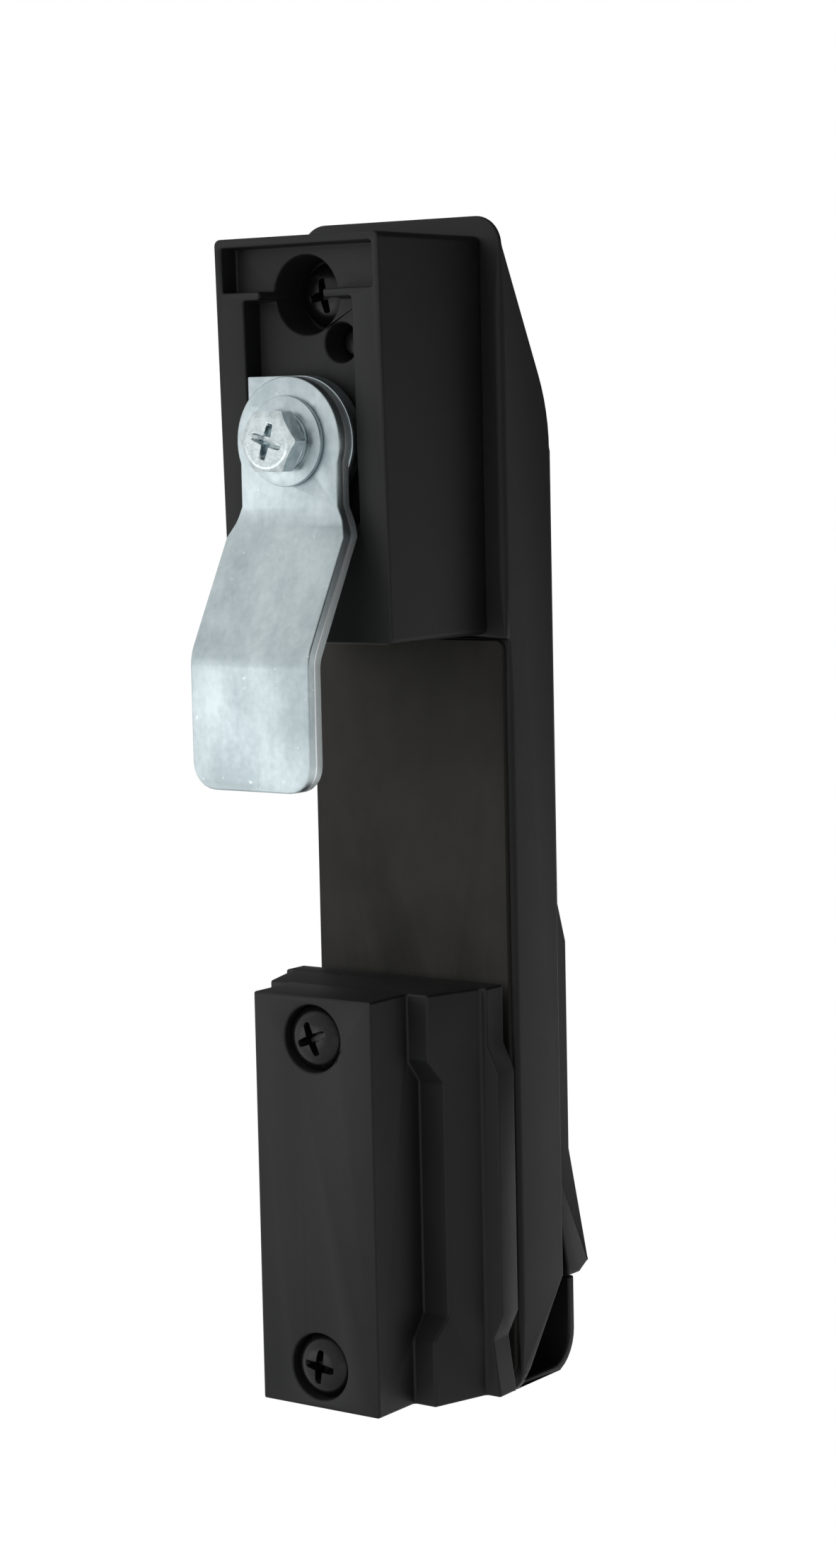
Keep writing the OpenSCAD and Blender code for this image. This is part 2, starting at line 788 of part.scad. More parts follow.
module lock_cylinder() {
    color(zinc) difference() {
        pin_y(0, -lock_down, cylinder_r, lock_front_y, cylinder_rear);
        pin_y(0, -lock_down, plug_r + plug_gap, lock_front_y - over, cylinder_rear + over);
    }
}

module cylinder_nut() {
    color(zinc) difference() {
        translate([0, lock_boss_rear + seat_gap, -lock_down]) rotate([-90, 0, 0])
            cylinder(h = nut_h, r = nut_af / sqrt(3), $fn = 6);
        pin_y(0, -lock_down, cylinder_r + seat_gap, lock_boss_rear - over,
            lock_boss_rear + nut_h + over);
    }
}

module lock_plug() {
    color(zinc) difference() {
        pin_y(0, -lock_down, plug_r, plug_front_y, plug_rear);
        translate([0, 0, -lock_down]) block([-key_slot_w / 2, plug_front_y - over, -key_slot_h / 2],
            [key_slot_w / 2, plug_front_y + key_slot_d, key_slot_h / 2]);
        pin_y(0, -lock_down, driver_screw_r + seat_gap, plug_rear - driver_screw_l - hole_spare,
            plug_rear + over);
    }
}

module plug_driver() {
    front = plug_rear + seat_gap;
    color(zinc) difference() {
        union() {
            pin_y(0, -lock_down, driver_r, front, front + driver_t);
            block([0, front, -lock_down - driver_half_w],
                [driver_reach - driver_half_w, front + driver_t, -lock_down + driver_half_w]);
            pin_y(driver_reach - driver_half_w, -lock_down, driver_half_w, front, front + driver_t);
        }
        pin_y(0, -lock_down, driver_screw_r + screw_gap, front - over, front + driver_t + over);
    }
}

module driver_screw() {
    seat = plug_rear + driver_t + 2 * seat_gap;
    color(dark_steel) difference() {
        union() {
            pin_y(0, -lock_down, driver_head_r, seat, seat + driver_head_h);
            pin_y(0, -lock_down, driver_screw_r, plug_rear - driver_screw_l, seat + over);
        }
        cross_recess(0, -lock_down, seat + driver_head_h, driver_head_r * 1.2,
            driver_head_h * 0.6, 45);
    }
}

module locking_pin() {
    z = -lock_down + lock_pin_up;
    color(zinc) {
        pin_y(0, z, lock_pin_r, lock_front_y, lock_pin_tail);
        pin_y(0, z, collar_r, collar_front, collar_front + collar_t);
    }
}

function spring_ring(t, r, pitch) =
    [for (i = [0 : spring_sides - 1]) let (a = 360 * i / spring_sides, q = r + spring_wire_r * cos(a))
        [q * cos(t), q * sin(t), pitch * t / 360 + spring_wire_r * sin(a)]];

module lock_spring() {
    rings = spring_turns * spring_ring_steps;
    front = pin_boss_rear + move_gap / 2 + spring_wire_r;
    rear = collar_front - move_gap / 2 - spring_wire_r;
    pitch = (rear - front) / spring_turns;
    r = lock_pin_r + 1.6 * move_gap + spring_wire_r;
    points = [for (k = [0 : rings]) each spring_ring(360 * k / spring_ring_steps, r, pitch)];
    sides = [for (k = [0 : rings - 1], i = [0 : spring_sides - 1])
        let (a = k * spring_sides + i, b = k * spring_sides + (i + 1) % spring_sides)
            [a, a + spring_sides, b + spring_sides, b]];
    first = [for (i = [0 : spring_sides - 1]) i];
    last = [for (i = [spring_sides - 1 : -1 : 0]) rings * spring_sides + i];
    color(zinc) translate([0, front, -lock_down + lock_pin_up]) rotate([-90, 0, 0])
        polyhedron(points, concat(sides, [first], [last]));
}

module clamp_flange() {
    half = clamp_flange_w / 2;
    foot = clamp_foot_w / 2;
    wide = half + wing_w;
    z = clamp_mid_z;
    plate(clamp_front_y, clamp_flange_y) polygon([[-half, clamp_top_z], [half, clamp_top_z],
        [half, z + wing_half_h + wing_run], [wide, z + wing_half_h], [wide, z - wing_half_h],
        [half, z - wing_half_h - wing_run], [foot, clamp_low_z], [-foot, clamp_low_z],
        [-half, z - wing_half_h - wing_run], [-wide, z - wing_half_h],
        [-wide, z + wing_half_h], [-half, z + wing_half_h + wing_run]]);
}

module clamp_step() {
    side = clamp_step_w / 2;
    root = clamp_root_w / 2;
    intersection() {
        bar(clamp_root_w) polygon([[clamp_front_y, clamp_low_z], [clamp_step_y, clamp_low_z],
            [clamp_step_y, clamp_mid_z - waist_half_h - waist_run],
            [clamp_step_y - waist_d, clamp_mid_z - waist_half_h],
            [clamp_step_y - waist_d, clamp_mid_z + waist_half_h],
            [clamp_step_y, clamp_mid_z + waist_half_h + waist_run],
            [clamp_step_y, clamp_top_z], [clamp_front_y, clamp_top_z]]);
        translate([0, 0, clamp_low_z]) linear_extrude(clamp_h) polygon([[-root, clamp_front_y],
            [root, clamp_front_y], [root, clamp_flange_y], [side, clamp_step_y],
            [-side, clamp_step_y], [-root, clamp_flange_y]]);
    }
}

module clamp_solid() {
    block([-clamp_block_w / 2, clamp_front_y, clamp_low_z],
        [clamp_block_w / 2, clamp_rear, clamp_top_z]);
    clamp_step();
    clamp_flange();
}

module clamp_bracket() {
    color(black) difference() {
        clamp_solid();
        for (z = [upper_screw_z, lower_screw_z]) {
            pin_y(0, z, boss_r + boss_gap, clamp_front_y - over, boss_rear + boss_gap);
            pin_y(0, z, screw_r + screw_gap, clamp_front_y, clamp_rear + over);
            pin_y(0, z, pan_hole_r, pan_seat_y, clamp_rear + over);
        }
        block([-cavity_half_w, clamp_front_y - over, -lock_down - cavity_half_h],
            [cavity_half_w, cavity_step_y, -lock_down + cavity_half_h]);
        block([-tail_cavity_half_w, clamp_front_y, -lock_down - cavity_half_h],
            [tail_cavity_half_w, tail_cavity_y, -lock_down + cavity_half_h]);
    }
}

module clamp_screw_upper() {
    color(dark_steel) pan_screw(0, upper_screw_z, pan_seat_y + seat_gap, clamp_screw_tip, 22);
}

module clamp_screw_lower() {
    color(dark_steel) pan_screw(0, lower_screw_z, pan_seat_y + seat_gap, clamp_screw_tip, -8);
}

base();
gasket();
rear_housing();
housing_screw();
front_screw();
locating_pin();
shaft();
shaft_bush();
shaft_ring();
shaft_clip();
stop_plate();
cam();
flat_washer();
spring_washer();
cam_bolt();
handle();
handle_ear();
lift_pin();
rest_pad_left();
rest_pad_right();
lock_cylinder();
cylinder_nut();
lock_plug();
plug_driver();
driver_screw();
locking_pin();
lock_spring();
clamp_bracket();
clamp_screw_upper();
clamp_screw_lower();
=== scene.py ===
"""Looks of a cabinet lock handle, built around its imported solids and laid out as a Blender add-on."""

import json
import math

import bmesh
import bpy
from bpy.props import FloatProperty, FloatVectorProperty, IntProperty, PointerProperty
from mathutils import Matrix, Vector


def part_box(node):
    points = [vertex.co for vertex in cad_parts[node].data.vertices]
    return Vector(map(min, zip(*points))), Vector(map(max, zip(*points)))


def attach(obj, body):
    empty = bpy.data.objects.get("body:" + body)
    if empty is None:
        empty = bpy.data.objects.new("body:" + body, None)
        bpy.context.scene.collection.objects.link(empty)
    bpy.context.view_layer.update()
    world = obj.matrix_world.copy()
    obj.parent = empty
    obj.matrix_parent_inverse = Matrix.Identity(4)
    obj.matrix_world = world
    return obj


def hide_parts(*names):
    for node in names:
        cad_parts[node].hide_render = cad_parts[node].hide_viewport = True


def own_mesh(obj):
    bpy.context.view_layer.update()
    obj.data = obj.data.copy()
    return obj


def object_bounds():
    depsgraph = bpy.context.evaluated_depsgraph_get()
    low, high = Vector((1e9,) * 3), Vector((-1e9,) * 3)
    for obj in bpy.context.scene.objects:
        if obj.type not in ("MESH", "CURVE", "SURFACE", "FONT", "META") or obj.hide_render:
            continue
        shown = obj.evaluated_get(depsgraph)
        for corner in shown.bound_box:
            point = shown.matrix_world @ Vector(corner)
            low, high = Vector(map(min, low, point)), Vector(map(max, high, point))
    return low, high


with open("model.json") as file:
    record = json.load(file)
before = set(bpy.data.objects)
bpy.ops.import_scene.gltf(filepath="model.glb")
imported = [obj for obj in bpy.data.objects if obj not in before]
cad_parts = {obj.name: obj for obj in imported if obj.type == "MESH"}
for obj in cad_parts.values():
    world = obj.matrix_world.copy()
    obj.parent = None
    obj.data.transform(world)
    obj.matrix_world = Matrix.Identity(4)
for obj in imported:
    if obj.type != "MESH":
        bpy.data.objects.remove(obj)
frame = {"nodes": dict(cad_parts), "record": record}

bl_info = {
    "name": "Cabinet Lock Handle",
    "version": (1, 0, 0),
    "blender": (4, 5, 0),
    "location": "View3D > Sidebar > Lock Handle",
    "description": "Rounded castings, plated steel, detailed screws and the studio around a cabinet lock handle",
    "category": "Object",
}

MM = 0.001
NODES = frame["nodes"]
BODY_OF = {node: body for body, members in frame["record"]["behaviour"]["bodies"].items() for node in members}
SLOT_OF = {part["node"]: part["material_slot"] for part in frame["record"]["subparts"]}
CAD_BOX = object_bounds()
COATED = ("rear_housing", "handle", "handle_ear", "clamp_bracket")
PHOTO_HEIGHT = 2216
BOW_WALL = 1.6
BOW_STANDS = 0.1
BOW_PARTS = 12
BOW_CLOSER = 0.2
TAPER_STEP = 2.0
TAPER_RUN = 9.0


# Settings


class FinishSettings(bpy.types.PropertyGroup):
    """Colours and gloss of the finishes."""

    coat_color: FloatVectorProperty(
        name="Coat", description="Black coat on the castings", subtype="COLOR", size=3, default=(0.0145, 0.0152, 0.0149)
    )
    coat_dust: FloatVectorProperty(
        name="Coat dust", description="Dust that lies in the coat's grain", subtype="COLOR", size=3, default=(0.045, 0.045, 0.044)
    )
    coat_gloss: FloatProperty(name="Coat roughness", description="Roughness of the black coat", min=0.1, max=1, default=0.43)
    grain: FloatProperty(name="Coat grain", description="Size of the coat's grain, in millimetres", min=0.1, max=2, default=0.34)
    zinc_color: FloatVectorProperty(
        name="Zinc", description="Zinc plate", subtype="COLOR", size=3, default=(0.53, 0.60, 0.62)
    )
    zinc_shade: FloatVectorProperty(
        name="Zinc shade", description="Duller patches in the zinc plate", subtype="COLOR", size=3, default=(0.375, 0.44, 0.46)
    )
    rubber_color: FloatVectorProperty(
        name="Rubber", description="Gasket and pads", subtype="COLOR", size=3, default=(0.025, 0.0243, 0.0228)
    )
    rubber_dust: FloatVectorProperty(
        name="Rubber dust", description="Dust and handling marks on the gasket", subtype="COLOR", size=3, default=(0.047, 0.045, 0.041)
    )
    screw_color: FloatVectorProperty(
        name="Black screws", description="Black plate on the screws", subtype="COLOR", size=3, default=(0.0035, 0.0033, 0.0033)
    )


class EdgeSettings(bpy.types.PropertyGroup):
    """How far the corners are rounded."""

    casting: FloatProperty(name="Castings", description="Rounding of the castings' corners, in millimetres", min=0.05, max=1, default=0.3)
    base_rear: FloatProperty(name="Base's rear", description="Rounding of the base's rear edges, in millimetres", min=0.1, max=1.5, default=0.9)
    sheet: FloatProperty(name="Pressed sheet", description="Rounding of the pressed steel's corners, in millimetres", min=0.02, max=0.6, default=0.22)
    small: FloatProperty(name="Small pieces", description="Rounding of small turned pieces, in millimetres", min=0.02, max=0.4, default=0.1)
    steps: IntProperty(name="Steps", description="Faces across a rounded corner", min=1, max=6, default=3)


class ScrewSettings(bpy.types.PropertyGroup):
    """Sizes of the cross recesses and threads."""

    cross_span: FloatProperty(name="Cross span", description="Span of the cross over the head's width", min=0.3, max=0.8, default=0.56)
    cross_depth: FloatProperty(name="Cross depth", description="Depth of the cross over the head's height", min=0.3, max=0.9, default=0.66)
    thread_pitch: FloatProperty(name="Thread pitch", description="Pitch of the thread, in millimetres", min=0.4, max=1, default=0.7)
    sectors: IntProperty(name="Sectors", description="Faces around a head", min=36, max=180, default=120)


class StudioSettings(bpy.types.PropertyGroup):
    """Camera, floor and lamps."""

    focal: FloatProperty(name="Focal length", description="Focal length in pixels of the full picture", min=2000, max=9000, default=4726.76)
    azimuth: FloatProperty(name="Azimuth", description="Turn of the camera around the object, in degrees", default=215.58)
    elevation: FloatProperty(name="Elevation", description="Height of the camera, in degrees", default=6.16)
    roll: FloatProperty(name="Roll", description="Roll of the camera, in degrees", default=-1.21)
    distance: FloatProperty(name="Distance", description="Camera to target, in millimetres", min=100, max=2000, default=399.55)
    target: FloatVectorProperty(name="Target", description="Point the camera aims at, in millimetres", size=3, default=(-8.56, 10.0, -41.09))
    floor_drop: FloatProperty(name="Floor drop", description="Floor below the object's lowest point, in millimetres", min=0, max=500, default=160)
    key: FloatProperty(name="Key light", description="Strength of the key light", subtype="POWER", min=0, max=100, default=1.5)
    fill: FloatProperty(name="Fill light", description="Strength of the fill light", subtype="POWER", min=0, max=100, default=0.3)
    rim: FloatProperty(name="Rim light", description="Strength of the rim light", subtype="POWER", min=0, max=100, default=0.12)


# Shader expressions


class Wire:
    """A socket's output that takes part in arithmetic."""

    def __init__(self, board, socket):
        self.board = board
        self.socket = socket

    def _math(self, operation, a, b):
        return self.board.node("ShaderNodeMath", {"operation": operation}, {0: a, 1: b})

    def __add__(self, other):
        return self._math("ADD", self, other)

    def __radd__(self, other):
        return self._math("ADD", other, self)

    def __sub__(self, other):
        return self._math("SUBTRACT", self, other)

    def __rsub__(self, other):
        return self._math("SUBTRACT", other, self)

    def __mul__(self, other):
        return self._math("MULTIPLY", self, other)

    def __rmul__(self, other):
        return self._math("MULTIPLY", other, self)

    def __truediv__(self, other):
        return self._math("DIVIDE", self, other)

    def __pow__(self, other):
        return self._math("POWER", self, other)


class Board:
    """A material's node tree, written as expressions."""

    def __init__(self, name):
        self.material = bpy.data.materials.new(name)
        self.material.use_nodes = True
        self.tree = self.material.node_tree
        self.tree.nodes.clear()
        self.output = self.tree.nodes.new("ShaderNodeOutputMaterial")

    def node(self, kind, settings=None, sockets=None, out=0):
        """Add a node: settings first, then the values or wires of its sockets."""
        made = self.tree.nodes.new(kind)
        for key, value in (settings or {}).items():
            if key == "stops":
                ramp = made.color_ramp.elements
                while len(ramp) < len(value):
                    ramp.new(0.5)
                for stop, (place, shade) in zip(ramp, value):
                    stop.position = place
                    stop.color = (*shade, 1) if hasattr(shade, "__len__") else (shade, shade, shade, 1)
            else:
                setattr(made, key, value)
        for key, value in (sockets or {}).items():
            if isinstance(value, Wire):
                self.tree.links.new(value.socket, made.inputs[key])
            else:
                made.inputs[key].default_value = value
        return Wire(self, made.outputs[out])

    def place(self):
        """Position in the object's frame, in metres."""
        return self.node("ShaderNodeTexCoord", out="Object")

    def in_view(self):
        """1 for what the camera sees straight, in metal or through glass, and 0 for soft light."""
        rays = [self.node("ShaderNodeLightPath", out=kind) for kind in ("Is Camera Ray", "Is Glossy Ray", "Is Transmission Ray")]
        return self.node("ShaderNodeMath", {"operation": "MAXIMUM"}, {0: rays[0], 1: self.node("ShaderNodeMath", {"operation": "MAXIMUM"}, {0: rays[1], 1: rays[2]})})

    def noise(self, size_mm, detail=3.0, rough=0.5, stretch=(1, 1, 1), where=None):
        """Noise whose features are about size_mm across, longer where stretch is under 1."""
        moved = self.node("ShaderNodeMapping", {}, {"Vector": where or self.place(), "Scale": stretch})
        return self.node(
            "ShaderNodeTexNoise", {}, {"Vector": moved, "Scale": 1 / (size_mm * MM), "Detail": detail, "Roughness": rough}
        )

    def ramp(self, value, *stops):
        return self.node("ShaderNodeValToRGB", {"stops": stops}, {"Fac": value})

    def window(self, value, low, high, smooth=0.02):
        """1 between low and high, 0 outside."""
        up = self.node("ShaderNodeMapRange", {"interpolation_type": "SMOOTHSTEP"}, {"Value": value, 1: low - smooth, 2: low + smooth})
        down = self.node("ShaderNodeMapRange", {"interpolation_type": "SMOOTHSTEP"}, {"Value": value, 1: high - smooth, 2: high + smooth})
        return up * (1 - down)

    def blend(self, factor, a, b):
        """Mix of two colours."""
        mixed = self.tree.nodes.new("ShaderNodeMix")
        mixed.data_type = "RGBA"
        for socket, value in ((mixed.inputs[0], factor), (mixed.inputs[6], a), (mixed.inputs[7], b)):
            if isinstance(value, Wire):
                self.tree.links.new(value.socket, socket)
            else:
                socket.default_value = (*value, 1) if hasattr(value, "__len__") else value
        return Wire(self, mixed.outputs[2])

    def bump(self, height, distance_mm, strength=1.0, normal=None):
        sockets = {"Height": height, "Distance": distance_mm * MM, "Strength": strength}
        if normal:
            sockets["Normal"] = normal
        return self.node("ShaderNodeBump", {}, sockets)

    def finish(self, **sockets):
        """Close the material with a Principled shader."""
        shader = self.node("ShaderNodeBsdfPrincipled", {}, {k.replace("_", " "): v for k, v in sockets.items()})
        self.tree.links.new(shader.socket, self.output.inputs["Surface"])
        return self.material


# Finishes


def black_coat(settings):
    """Satin black coat with a fine grain, as on the castings."""
    board = Board("black_coat")
    grain = board.noise(settings.grain, 2.0, 0.6)
    cloud = board.noise(9, 3.0, 0.55)
    specks = board.ramp(board.noise(0.75, 2.0, 0.7), (0.66, 0.0), (0.74, 1.0))
    dust = board.ramp(cloud, (0.35, 0.0), (0.75, 1.0))
    color = board.blend(dust * 0.14 + specks * 0.10, settings.coat_color, settings.coat_dust)
    rough = settings.coat_gloss + cloud * 0.12 - 0.06 + grain * 0.08
    height = grain * 0.7 + board.noise(1.6, 2.0, 0.5) * 0.5
    return board.finish(
        Base_Color=color, Roughness=rough, Specular_IOR_Level=0.2, Normal=board.bump(height, 0.02, 0.55)
    )


def black_plate(settings):
    """Glossy black plate, as on the screws."""
    board = Board("black_plate")
    wear = board.ramp(board.noise(1.3, 4.0, 0.65), (0.58, 0.0), (0.8, 1.0))
    color = board.blend(wear * 0.3, settings.screw_color, (0.05, 0.047, 0.044))
    rough = 0.2 + board.noise(0.9, 3.0, 0.6) * 0.16
    return board.finish(
        Base_Color=color, Roughness=rough, Specular_IOR_Level=0.26, Normal=board.bump(board.noise(0.5, 3.0, 0.6), 0.012, 0.5)
    )


def zinc_plate(settings, name="zinc_plate", cut=False):
    """Bright zinc plate with soft patches and fine rolling marks; cut adds the sheared rim of a pressed sheet, with a
    painted highlight as a near-white line along its middle, and its torn part lightened partly for the bare fracture
    and partly as painted light.
    """
    board = Board(name)
    patches = board.noise(7, 4.0, 0.62, (1, 1, 0.5))
    spangle = board.noise(0.8, 2.0, 0.55)
    streaks = board.noise(0.5, 2.0, 0.5, (1, 1, 0.06))
    tone = board.ramp(patches * 0.8 + spangle * 0.2, (0.38, 0.0), (0.62, 1.0))
    chips = board.ramp(board.noise(0.9, 3.0, 0.7), (0.68, 0.0), (0.73, 1.0))
    stains = board.ramp(board.noise(2.6, 3.0, 0.7), (0.62, 0.0), (0.8, 1.0))
    color = board.blend(tone, settings.zinc_shade, settings.zinc_color)
    color = board.blend(stains * 0.35, color, (0.34, 0.385, 0.40))
    color = board.blend(chips * 0.6, color, (0.82, 0.87, 0.88))
    rough = 0.30 + patches * 0.16 + streaks * 0.06 - tone * 0.05
    height = spangle * 0.4 + streaks * 0.35 + board.noise(0.18, 2.0, 0.6) * 0.25
    if cut:
        through = board.node("ShaderNodeAttribute", {"attribute_name": "through"}, out="Fac")
        torn = board.window(through, 0.52, 0.95, 0.03)
        line = board.window(through, 0.44, 0.52, 0.02)
        ragged = board.noise(0.45, 4.0, 0.7, (1, 1, 0.5))
        # The torn part is lightened in colour. This is partly the duller bare fracture zone and partly painted light
        # that stands in for the lamps.
        color = board.blend(torn * (0.35 + ragged * 0.5), color, (0.62, 0.65, 0.65))
        # Painted highlight: a near-white line along the middle of the sheared rim.
        color = board.blend(line * 0.9, color, (0.93, 0.95, 0.95))
        rough = rough + torn * 0.22
        height = height + torn * ragged * 3.0
    return board.finish(
        Base_Color=color, Metallic=1.0, Roughness=rough, Normal=board.bump(height, 0.02, 0.5)
    )


def dusty_rubber(settings):
    """Matt rubber with dust and handling marks."""
    board = Board("dusty_rubber")
    cloud = board.noise(11, 5.0, 0.62, (1, 1, 0.7))
    smear = board.noise(26, 3.0, 0.6)
    specks = board.ramp(board.noise(0.6, 2.0, 0.7), (0.64, 0.0), (0.75, 1.0))
    amount = board.ramp(cloud * 0.65 + smear * 0.45, (0.42, 0.0), (0.72, 1.0))
    color = board.blend(amount * 0.75 + specks * 0.12, settings.rubber_color, settings.rubber_dust)
    rough = 0.62 + cloud * 0.22
    return board.finish(
        Base_Color=color,
        Roughness=rough,
        Specular_IOR_Level=0.12,
        Normal=board.bump(board.noise(0.3, 2.0, 0.6) + cloud * 0.5, 0.02, 0.6),
    )


def polished_plate(settings):
    """Glossy zinc plate with dull marks, as on the turned and rolled steel of the bolt and its washers."""
    board = Board("polished_plate")
    marks = board.noise(1.1, 4.0, 0.65)
    color = board.blend(board.ramp(marks, (0.4, 0.0), (0.65, 1.0)), (0.6, 0.66, 0.675), (0.43, 0.49, 0.505))
    return board.finish(
        Base_Color=color, Metallic=1.0, Roughness=0.1 + marks * 0.2, Normal=board.bump(marks + board.noise(0.3, 2.0) * 0.4, 0.03, 0.6)
    )


def lock_plate(settings):
    """Bright plate on the lock's pieces."""
    board = Board("lock_plate")
    soft = board.noise(3.0, 3.0, 0.6)
    color = board.blend(soft, (0.62, 0.62, 0.61), (0.74, 0.74, 0.73))
    return board.finish(
        Base_Color=color, Metallic=1.0, Roughness=0.16 + soft * 0.14, Normal=board.bump(board.noise(0.4, 2.0), 0.008, 0.4)
    )


def bearing_plastic(settings):
    """Natural plastic of the bush."""
    board = Board("bearing_plastic")
    soft = board.noise(2.0, 3.0, 0.6)
    return board.finish(
        Base_Color=board.blend(soft, (0.62, 0.6, 0.52), (0.74, 0.72, 0.64)),
        Roughness=0.45 + soft * 0.15,
        Normal=board.bump(board.noise(0.3, 2.0), 0.01, 0.4),
    )


def drawn_wire(settings):
    """Wire of the spring."""
    board = Board("drawn_wire")
    soft = board.noise(0.5, 3.0, 0.6)
    return board.finish(
        Base_Color=board.blend(soft, (0.5, 0.52, 0.53), (0.66, 0.68, 0.7)),
        Metallic=1.0,
        Roughness=0.25 + soft * 0.15,
        Normal=board.bump(soft, 0.01, 0.3),
    )


FINISH_OF_SLOT = {
    "black_casting": black_coat,
    "gasket_rubber": dusty_rubber,
    "black_steel": black_plate,
    "zinc_steel": zinc_plate,
    "spring_steel": drawn_wire,
    "bush_plastic": bearing_plastic,
    "lock_metal": lock_plate,
}
made_finishes = {}


def finish_for(slot):
    """The material of a record's slot, made once."""
    if slot not in made_finishes:
        made_finishes[slot] = FINISH_OF_SLOT[slot](bpy.context.scene.lock_finish)
    return made_finishes[slot]


def polished_finish(context):
    """The bolt's and its spring washer's glossy plate, made once."""
    if "polished" not in made_finishes:
        made_finishes["polished"] = polished_plate(context.scene.lock_finish)
    return made_finishes["polished"]


# Pieces


def settle(piece, node, material=None, stands_for=True):
    """Give a piece its body, its slot and its finish, and let it stand for a CAD node."""
    piece.data.materials.clear()
    piece.data.materials.append(material or finish_for(SLOT_OF[node]))
    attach(piece, BODY_OF[node])
    if stands_for:
        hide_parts(node)
    return piece


def shown(name, mesh, sharp=32):
    """Put a mesh in the scene, smooth except over its sharp corners."""
    mesh.shade_smooth()
    mesh.set_sharp_from_angle(angle=math.radians(sharp))
    piece = bpy.data.objects.new(name, mesh)
    bpy.context.scene.collection.objects.link(piece)
    return piece


def tapered(work, weight, corner, share):
    """Split a straight corner, and let its rounding grow from share at its ends to 1."""
    start, end = (spot.co.copy() for spot in corner.verts)
    cuts = int((end - start).length / (TAPER_STEP * MM))
    pieces = bmesh.ops.bisect_edges(work, edges=[corner], cuts=cuts)["geom_split"]
    for piece in {corner, *(each for each in pieces if isinstance(each, bmesh.types.BMEdge))}:
        middle = (piece.verts[0].co + piece.verts[1].co) / 2
        grown = min(1.0, min((middle - start).length, (end - middle).length) / (TAPER_RUN * MM))
        piece[weight] = share + (1 - share) * grown * grown * (3 - 2 * grown)


def swept_bow(work, front):
    """Let the free edge of the base's bow follow the sweep of the handle's end."""
    walls = [face for face in work.faces if all(spot.co.y < front - BOW_STANDS * MM for spot in face.verts)]
    top = max(spot.co.z for face in walls for spot in face.verts)
    half = max(spot.co.x for face in walls for spot in face.verts)
    for i in range(1, BOW_PARTS):
        at = Vector((half * (2 * i / BOW_PARTS - 1), 0, 0))
        near = {part for face in walls if face.is_valid for part in (face, *face.edges, *face.verts)}
        bmesh.ops.bisect_plane(work, geom=list(near), plane_co=at, plane_no=(1, 0, 0))
        walls = [face for face in work.faces if all(spot.co.y < front - BOW_STANDS * MM for spot in face.verts)]
    sweep = abs(top) - BOW_CLOSER * MM
    for spot in {spot for face in walls for spot in face.verts if abs(spot.co.z - top) < 0.01 * MM}:
        spot.co.z = -math.sqrt(sweep * sweep - spot.co.x * spot.co.x)


def softened(node, edge, steps=3, least=28, full=None, share=1.0, shape=None):
    """A copy of a CAD node's solid with rounded corners; only what full picks gets more than share of the rounding."""
    work = bmesh.new()
    work.from_mesh(NODES[node].data)
    bmesh.ops.remove_doubles(work, verts=work.verts, dist=0.002 * MM)
    bmesh.ops.dissolve_limit(work, angle_limit=math.radians(0.3), verts=work.verts[:], edges=work.edges[:])
    if shape:
        shape(work)
    weight = work.edges.layers.float.new("bevel_weight_edge")
    for corner in work.edges:
        if len(corner.link_faces) == 2 and corner.calc_face_angle(0) > math.radians(least):
            corner[weight] = share
    for corner in [each for each in work.edges if full and full(each)]:
        tapered(work, weight, corner, share)
    mesh = bpy.data.meshes.new(node + "_look")
    work.to_mesh(mesh)
    work.free()
    mesh.shade_smooth()
    rough = bpy.data.objects.new(node + "_work", mesh)
    bpy.context.scene.collection.objects.link(rough)
    rounding = rough.modifiers.new("rounding", "BEVEL")
    rounding.limit_method = "WEIGHT"
    rounding.width = edge * MM
    rounding.segments = steps
    rounding.use_clamp_overlap = False
    rounding.harden_normals = True
    rounding.miter_outer = "MITER_ARC"
    made = bpy.data.meshes.new_from_object(rough.evaluated_get(bpy.context.evaluated_depsgraph_get()))
    made.name = node + "_look"
    bpy.data.objects.remove(rough)
    piece = bpy.data.objects.new(node + "_look", made)
    bpy.context.scene.collection.objects.link(piece)
    return piece


def cross_depth(u, v, arm, half, deep):
    """Depth of a driver's cross under a point of the head."""
    deepest = 0.0
    for along, across in ((abs(u), abs(v)), (abs(v), abs(u))):
        slope = min(1.0, max(0.0, (arm - along) / (0.42 * arm)))
        width = half * (1.0 - 0.3 * along / arm)
        wall = min(1.0, max(0.0, (width - across) / (0.3 * half)))
        deepest = max(deepest, deep * slope * wall)
    return deepest


